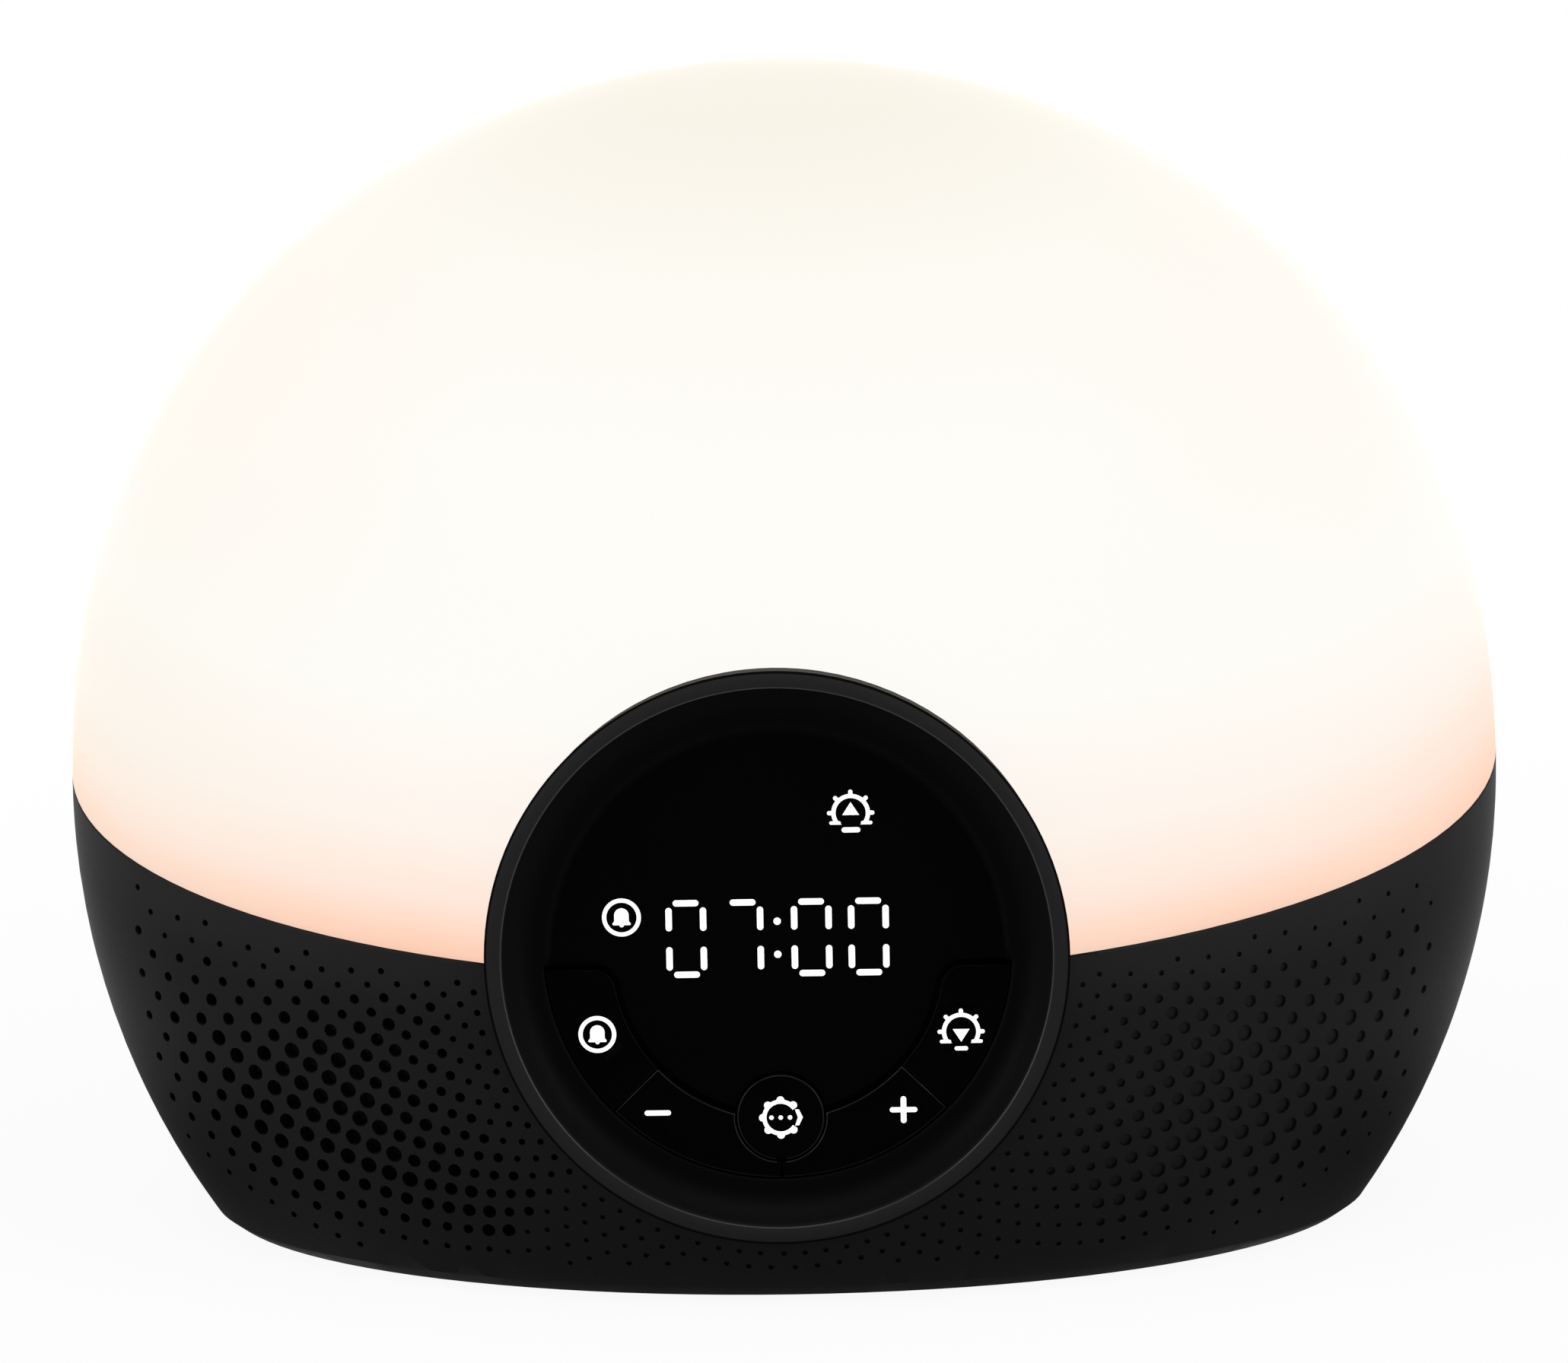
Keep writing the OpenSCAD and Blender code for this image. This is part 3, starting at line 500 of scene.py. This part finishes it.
class CLOCK_OT_shell(bpy.types.Operator):
    """Base shell in dark plastic, with wide mouths on its open holes and closed dimples"""
    bl_idname = "clock.shell"
    bl_label = "Base shell"

    def execute(self, context):
        grille = context.scene.clock_grille
        made = self.plastic(tuple(context.scene.clock_body.shell_colour))
        dress(made, "base_shell", "bottom_cover")
        shell = new_piece("dimpled_shell", merged_copy("base_shell"), made)
        cutters = bmesh.new()
        self.add_dimples(cutters, grille, LEFT_DIMPLES)
        self.add_dimples(cutters, grille, RIGHT_DIMPLES)
        self.add_mouths(cutters, grille.mouth)
        carve(shell, cutters)
        smooth(shell, 32)
        self.round_normals(shell.data)
        join_body(shell, "housing", "dark_shell", "base_shell")
        return {"FINISHED"}

    def plastic(self, colour):
        """Dark plastic with painted light: darker towards the bottom as painted shade, paler
        towards the seam as the dome's glow painted on, and darkest and dullest low down at the
        sides, the darkness there painted shade.
        """
        made, paint = material("shell_plastic")
        x, y, z = paint.axes()
        # Painted shade: darker towards the bottom
        low = paint.rise(z, 2 * MM, 40 * MM, 0.4, 0.9)
        # Painted light: paler towards the seam, the dome's glow painted on the shell
        high = paint.rise(z - y * math.tan(SEAM_TILT), SEAM_Z - 12 * MM, SEAM_Z, 0.1, 0.7)
        # Painted shade: darkest low down at the sides, where the shell is also made duller
        shade = paint.rise(abs(x), 60 * MM, 92 * MM) * paint.rise(z, 5 * MM, 38 * MM, 0.85, 0.0)
        flow = paint.rise(paint.noise(45.0, 3.0), 0.0, 1.0, 0.86, 1.12)
        # The tone holds the painted shade and light above and a random change of tone
        tone = (low + high) * (1.0 - shade) * flow
        fine = paint.noise(2200.0)
        paint.surface(Base_Color=paint.node("ShaderNodeVectorMath", {"operation": "SCALE"},
                                            {"Vector": colour, "Scale": tone}),
                      Roughness=fine * 0.12 + shade * 0.5 + 0.44, Specular_IOR_Level=0.045,
                      Normal=paint.bump(fine, 0.03 * MM, 0.6))
        return made

    def rings(self, plan, pitch, step):
        """The holes of one side, ring by ring: each one's place, way out and angle in degrees."""
        side = math.copysign(1, plan.across)
        # A hole straight below the face belongs to the right side
        last = math.radians(90 + 0.3 * side)
        for ring in RING_NUMBERS:
            spots = []
            for number in range(-2, 23):
                angle = plan.phase + step * (number + ring % 2 / 2)
                radius = plan.start + pitch * ring
                x = side * radius * math.cos(angle) + plan.across
                rise = -radius * math.sin(angle) - RINGS_PLANE * math.sin(plan.tilt)
                if abs(x) > SIDE_LIMIT or angle > last:
                    continue
                level = plan.up + rise / math.cos(plan.tilt)
                spot, out = front_point(x, level, -math.tan(plan.tilt))
                below_seam = SEAM_Z + spot.y * math.tan(SEAM_TILT) - spot.z
                lowest = plan.lowest + CORNER_SLOPE * max(0, abs(x) - CORNER_X)
                if below_seam > SEAM_MARGIN and spot.z > lowest:
                    spots.append((spot, out, math.degrees(angle)))
            yield ring, spots

    def hole_size(self, ring, index, count):
        """Size 0 to 3 of a ring's hole, by its place in the ring."""
        size = min(index, next(size for below, size in RING_SIZES if ring < below))
        return size if ring <= LAST_INNER_RING else min(size, count - 1 - index)

    def add_dimples(self, cutters, grille, plan):
        """Cutters of one side's dimples. On the left they start where the open holes end."""
        for ring, spots in self.rings(plan, grille.ring_pitch, grille.step):
            for index, (spot, out, angle) in enumerate(spots):
                if plan is LEFT_DIMPLES and angle < OPEN_END:
                    continue
                size = self.hole_size(ring, index, len(spots))
                if ring <= LAST_INNER_RING and angle >= SMALL_FROM:
                    size = 0
                width = grille.smallest + (grille.largest - grille.smallest) * size / LARGEST_SIZE
                self.add_cutter(cutters, spot, out, width, grille.depth)

    def add_mouths(self, cutters, mouth):
        """Cutters of the mouths of the open holes, wider than the holes behind them."""
        for ring, spots in self.rings(OPEN_HOLES, OPEN_PITCH, OPEN_STEP):
            spots = [(spot, out) for spot, out, angle in spots if angle < OPEN_END]
            for index, (spot, out) in enumerate(spots):
                size = self.hole_size(ring, index, len(spots))
                width = OPEN_SMALLEST + (OPEN_LARGEST - OPEN_SMALLEST) * size / LARGEST_SIZE
                # A hole points halfway between straight ahead and square to the wall
                turn = 0.5 * math.atan2(out.x, -out.y)
                ahead = Vector((math.sin(turn), -math.cos(turn), 0))
                self.add_cutter(cutters, spot, ahead, width * mouth, MOUTH_DEPTH)

    def add_cutter(self, cutters, spot, out, width, depth):
        """A rod of this width that goes in to this depth. A narrow one has fewer sides."""
        turn = out.to_track_quat("Z", "Y").to_matrix().to_4x4()
        bmesh.ops.create_cone(
            cutters, cap_ends=True, segments=12 if width < 1.4 * MM else 20, radius1=width / 2,
            radius2=width / 2, depth=2 * depth, matrix=Matrix.Translation(spot) @ turn)

    def round_normals(self, mesh):
        """Shades the outer face as the true curve, whatever its triangles are."""
        upright = LEANED.transposed()
        normals = [Vector((0, 0, 0))] * len(mesh.loops)
        for face in mesh.polygons:
            for loop in face.loop_indices:
                x, y, v = upright @ (mesh.vertices[mesh.loops[loop].vertex_index].co - WAIST)
                round_y = y * HALF_WIDTH / HALF_DEPTH
                if abs(v) > SHADING_REACH or abs(math.hypot(x, round_y) - radius_at(v)) > 0.1 * MM:
                    continue
                out = way_out(x, round_y, v)
                if out.dot(face.normal) > 0.97:
                    normals[loop] = out
        mesh.normals_split_custom_set(normals)


class CLOCK_OT_underside(bpy.types.Operator):
    """Rubber feet and the screws of the bottom cover and the boards"""
    bl_idname = "clock.underside"
    bl_label = "Feet and screws"

    def execute(self, context):
        dress(moulded("foot_rubber", grey(0.03), 0.8, 500.0, 0.05, 0.3), "rubber_feet")
        dress(metal("zinc_steel", grey(0.62)), "cover_screws", "control_board_screws",
              "main_board_screws")
        return {"FINISHED"}


class CLOCK_OT_bezel(bpy.types.Operator):
    """Bezel: a satin lip with rounded edges round a polished black dish, the dish darker towards
    the middle as painted shade and the lip's outer rim dark as a painted shadow
    """
    bl_idname = "clock.bezel"
    bl_label = "Bezel"

    def execute(self, context):
        made, paint = material("bezel_black")
        across = paint.axes()[0]
        up = paint.along(FACE_MIDDLE, FACE_UP)
        radius = across.calc("SQRT", across * across + up * up)
        # Painted shade: the dish is darker towards the middle and paler towards the lip
        paler = paint.rise(radius, *DISH_PAINTED_SHADE)
        colour = paint.blend(paler * paler, grey(0.0013), grey(0.005))
        colour = paint.blend(paint.rise(radius, *LIP_START), colour, grey(0.0145))
        # Painted shadow: a dark outer rim where the bezel meets the shell
        colour = paint.blend(paint.rise(radius, *GAP_SHADOW_START), colour, grey(0.001))
        fine = paint.noise(1500.0)
        paint.surface(Base_Color=colour, Roughness=fine * 0.05 + 0.45, Specular_IOR_Level=0.02,
                      Normal=paint.bump(fine, 0.006 * MM, 0.3))
        dress(made, "bezel_ring")
        edge = moulded("lip_edge", grey(0.012), 0.3, depth=0.004, specular=0.4)
        ring = rounded_copy("bezel_ring", lambda x, up: math.hypot(x, up) < ROUNDED_R,
                            BEZEL_ROUNDING, made, edge, flatten=False)
        join_body(ring, "housing", "gloss_black", "bezel_ring")
        return {"FINISHED"}


class CLOCK_OT_display(bpy.types.Operator):
    """Black window with lit digits, icons and symbols"""
    bl_idname = "clock.display"
    bl_label = "Window and digits"

    def execute(self, context):
        face = context.scene.clock_face
        made, paint = material("window_black")
        haze = paint.noise(60.0, 3.0)
        paint.surface(Base_Color=paint.blend(haze, grey(0.0004), grey(0.0008)),
                      Roughness=haze * 0.05 + 0.06, Specular_IOR_Level=0.01)
        dress(made, "display_window")
        lit, paint = material("lit_white")
        spread = paint.noise(300.0, 1.0)
        light = paint.blend(spread, toned(face.digit_colour, 0.97), tuple(face.digit_colour))
        paint.surface(Base_Color=(*grey(0.3), 1), Emission_Color=light,
                      Emission_Strength=face.digit_level, Roughness=spread * 0.1 + 0.3)
        dress(lit, "lit_segments", "indicator_icons", *[key + "_symbol" for key in KEYS])
        return {"FINISHED"}


class CLOCK_OT_keys(bpy.types.Operator):
    """Keys in polished black plastic with rounded edges, paler there as a painted highlight, and
    their plungers
    """
    bl_idname = "clock.keys"
    bl_label = "Keys"

    def execute(self, context):
        made, paint = material("key_black")
        haze = paint.noise(90.0, 3.0)
        paint.surface(Base_Color=paint.blend(haze, grey(0.0004), grey(0.0007)),
                      Roughness=haze * 0.06 + 0.3, Specular_IOR_Level=0.008)
        # The rounded edges get a glossier finish that is also paler than the keys: a painted
        # highlight
        edge = moulded("key_edge_painted_highlight", grey(0.003), 0.3, depth=0.004, specular=0.2)
        dress(made, *[key + "_key" for key in KEYS])
        for key, middle in KEYS.items():
            cap = rounded_copy(
                key + "_key", lambda x, up: math.dist((x, up), middle) > SYMBOL_REACH,
                KEY_ROUNDING, made, edge)
            join_body(cap, key, "key_black", key + "_key")
        dress(moulded("brown_plastic", (0.3, 0.17, 0.08)), *[key + "_plunger" for key in KEYS],
              "speaker_terminals")
        return {"FINISHED"}


class CLOCK_OT_light_box(bpy.types.Operator):
    """Reflector tray, board of light-emitting diodes and heat sink under the dome"""
    bl_idname = "clock.light_box"
    bl_label = "Light box"

    def execute(self, context):
        dress(moulded("white_plastic", (0.85, 0.85, 0.82), 0.6), "reflector_tray", "board_headers",
              "icon_light_guides")
        dress(solder_mask("board_white", grey(0.7)), "led_board")
        dress(moulded("diode_phosphor", (0.9, 0.72, 0.2), 0.25), "dome_leds", "icon_leds")
        dress(metal("aluminium", (0.75, 0.75, 0.77), 0.4), "heat_sink")
        return {"FINISHED"}


class CLOCK_OT_electronics(bpy.types.Operator):
    """Boards, switches and other electronics behind the face and over the cover"""
    bl_idname = "clock.electronics"
    bl_label = "Electronics"

    def execute(self, context):
        dress(solder_mask("board_green", (0.02, 0.16, 0.06)), "control_board", "main_board",
              "inlet_board")
        dress(moulded("component_black", grey(0.03), 0.4), "key_switches", "display_module",
              "controller_chip", "dc_inlet")
        dress(moulded("carrier_black", grey(0.0016), 0.6, specular=0.02), "key_carrier")
        dress(moulded("capacitor_sleeve", (0.02, 0.05, 0.25), 0.25), "capacitors")
        dress(bpy.data.materials["zinc_steel"], "dc_pin")
        return {"FINISHED"}


class CLOCK_OT_loudspeaker(bpy.types.Operator):
    """Loudspeaker behind the open side of the grille"""
    bl_idname = "clock.loudspeaker"
    bl_label = "Loudspeaker"

    def execute(self, context):
        dress(moulded("surround_rubber", grey(0.025), 0.6, 700.0), "speaker_gasket",
              "speaker_surround")
        dress(bpy.data.materials["zinc_steel"], "speaker_basket", "speaker_yoke")
        dress(moulded("ferrite", (0.07, 0.07, 0.08), 0.55, 400.0, 0.06), "speaker_magnet")
        dress(moulded("cone_paper", grey(0.06), 0.9, 1200.0, 0.08, 0.2), "speaker_cone", "dust_cap")
        dress(moulded("spider_cloth", (0.6, 0.4, 0.1), 0.9, 1500.0, 0.1, 0.2), "speaker_spider")
        dress(metal("copper_wire", (0.72, 0.4, 0.2)), "voice_coil")
        return {"FINISHED"}


class CLOCK_OT_leads(bpy.types.Operator):
    """Leads and the flat cable inside the base"""
    bl_idname = "clock.leads"
    bl_label = "Inner leads"

    def execute(self, context):
        dress(moulded("lead_red", (0.5, 0.03, 0.03), 0.4), "speaker_leads", "led_leads")
        dress(moulded("ribbon_grey", (0.5, 0.5, 0.52), 0.5), "ribbon_cable")
        return {"FINISHED"}


# ---- The studio ----
def seen_directly(paint):
    """1 for what the camera, a mirror or clear glass shows, 0 for what only lights something."""
    rays = paint.node("ShaderNodeLightPath").socket.node.outputs
    camera, glossy, through = [Signal(paint, rays[name]) for name in (
        "Is Camera Ray", "Is Glossy Ray", "Is Transmission Ray")]
    total = camera + glossy + through
    return total.calc("MINIMUM", total, 1.0)


def lamp(name, place, target, size, watts):
    """A soft lamp of this width and height in metres, turned to its target."""
    data = bpy.data.lights.new(name, "AREA")
    data.shape = "RECTANGLE"
    data.size, data.size_y = size
    data.energy = watts
    made = bpy.data.objects.new(name, data)
    bpy.context.scene.collection.objects.link(made)
    made.location = place
    made.rotation_mode = "QUATERNION"
    made.rotation_quaternion = (Vector(place) - Vector(target)).to_track_quat("Z", "Y")


class CLOCK_OT_studio(bpy.types.Operator):
    """Pale floor, soft lamps and the camera"""
    bl_idname = "clock.studio"
    bl_label = "Studio"

    def execute(self, context):
        scene = context.scene
        scene.view_settings.view_transform = "Standard"
        self.add_floor()
        self.add_world(scene)
        level = scene.clock_studio.lamp_level
        lamp("softbox_top", (0, -0.2, 1.2), (0, 0, 0.05), (1.2, 0.9), 9 * level)
        lamp("softbox_left", (-1.1, -0.5, 0.5), (0, 0, 0.08), (0.5, 0.9), 7 * level)
        lamp("softbox_right", (1.1, -0.5, 0.5), (0, 0, 0.08), (0.5, 0.9), 7 * level)
        self.add_camera(scene, scene.clock_studio.distance)
        return {"FINISHED"}

    def add_floor(self):
        """A pale floor that keeps a faint shadow and turns white away from the clock."""
        shape = bmesh.new()
        bmesh.ops.create_grid(shape, x_segments=1, y_segments=1, size=6)
        made, paint = material("floor_white")
        colour = paint.blend(paint.noise(30.0), grey(0.69), grey(0.71))
        plain = paint.node("ShaderNodeBsdfDiffuse", inputs=[colour])
        white = paint.node("ShaderNodeEmission", inputs=[(1, 1, 1, 1), 1.0])
        away = paint.vector("LENGTH", paint.place(), output="Value")
        seen = seen_directly(paint) * paint.rise(away, 0.1, 0.4, 0.93, 1.0)
        shader = paint.node("ShaderNodeMixShader", inputs=[seen, plain, white])
        paint.node("ShaderNodeOutputMaterial", inputs=[shader])
        new_piece("floor", shape, made)

    def add_world(self, scene):
        """A dim world that lights the clock evenly, and that is white where it is seen."""
        scene.world = bpy.data.worlds.new("studio")
        scene.world.use_nodes = True
        paint = Paint(scene.world.node_tree)
        sky = paint.node("ShaderNodeTexCoord", output="Generated")
        behind = paint.rise(paint.node("ShaderNodeSeparateXYZ", inputs=[sky], output=1), -0.1, 0.5)
        camera = paint.node("ShaderNodeLightPath", output="Is Camera Ray")
        seen = seen_directly(paint) * behind
        dim = paint.node("ShaderNodeBackground", inputs=[(1, 1, 1, 1), 0.35])
        white = paint.node("ShaderNodeBackground", inputs=[(1, 1, 1, 1), 1.0])
        shader = paint.node("ShaderNodeMixShader", inputs=[
            seen.calc("MAXIMUM", seen, camera), dim, white])
        paint.node("ShaderNodeOutputWorld", inputs=[shader])

    def add_camera(self, scene, distance):
        """A camera in front and a little above, turned to the middle of the clock."""
        flat = math.cos(CAMERA_LIFT)
        back = Vector((math.sin(CAMERA_TURN) * flat, -math.cos(CAMERA_TURN) * flat,
                       math.sin(CAMERA_LIFT)))
        level = (-back).cross(Vector((0, 0, 1))).normalized()
        rise = level.cross(-back)
        side = level * math.cos(CAMERA_ROLL) + rise * math.sin(CAMERA_ROLL)
        up = rise * math.cos(CAMERA_ROLL) - level * math.sin(CAMERA_ROLL)
        data = bpy.data.cameras.new("camera")
        data.sensor_width = SENSOR_WIDTH
        data.lens = FOCAL_LENGTH / VIEW_WIDTH * SENSOR_WIDTH
        data.shift_x = (VIEW_WIDTH / 2 - AXIS_ACROSS) / VIEW_WIDTH
        data.shift_y = (AXIS_DOWN - VIEW_HEIGHT / 2) / VIEW_WIDTH
        made = bpy.data.objects.new("camera", data)
        scene.collection.objects.link(made)
        turned = Matrix((side, up, back)).transposed().to_4x4()
        made.matrix_world = Matrix.Translation(CAMERA_AIM + back * distance) @ turned
        scene.camera = made


class CLOCK_PT_panel(bpy.types.Panel):
    """Lists the pieces of the clock"""
    bl_label = "Sunrise clock"
    bl_idname = "CLOCK_PT_panel"
    bl_space_type = "VIEW_3D"
    bl_region_type = "UI"
    bl_category = "Sunrise clock"

    def draw(self, context):
        for group, kind in GROUPS.items():
            for name in kind.__annotations__:
                self.layout.prop(getattr(context.scene, group), name)
        for step in STEPS:
            self.layout.operator(step.bl_idname)


STEPS = (
    CLOCK_OT_studio, CLOCK_OT_dome, CLOCK_OT_shell, CLOCK_OT_underside, CLOCK_OT_bezel,
    CLOCK_OT_display, CLOCK_OT_keys, CLOCK_OT_light_box, CLOCK_OT_electronics,
    CLOCK_OT_loudspeaker, CLOCK_OT_leads)
GROUPS = {"clock_body": ClockBody, "clock_grille": ClockGrille, "clock_face": ClockFace,
          "clock_studio": ClockStudio}


def register():
    for made in (*GROUPS.values(), *STEPS, CLOCK_PT_panel):
        bpy.utils.register_class(made)
    for name, group in GROUPS.items():
        setattr(bpy.types.Scene, name, PointerProperty(type=group))


def unregister():
    for name in GROUPS:
        delattr(bpy.types.Scene, name)
    for made in reversed((*GROUPS.values(), *STEPS, CLOCK_PT_panel)):
        bpy.utils.unregister_class(made)


def main():
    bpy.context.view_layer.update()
    register()
    for step in STEPS:
        prefix, name = step.bl_idname.split(".")
        getattr(getattr(bpy.ops, prefix), name)()


if __name__ == "__main__":
    main()
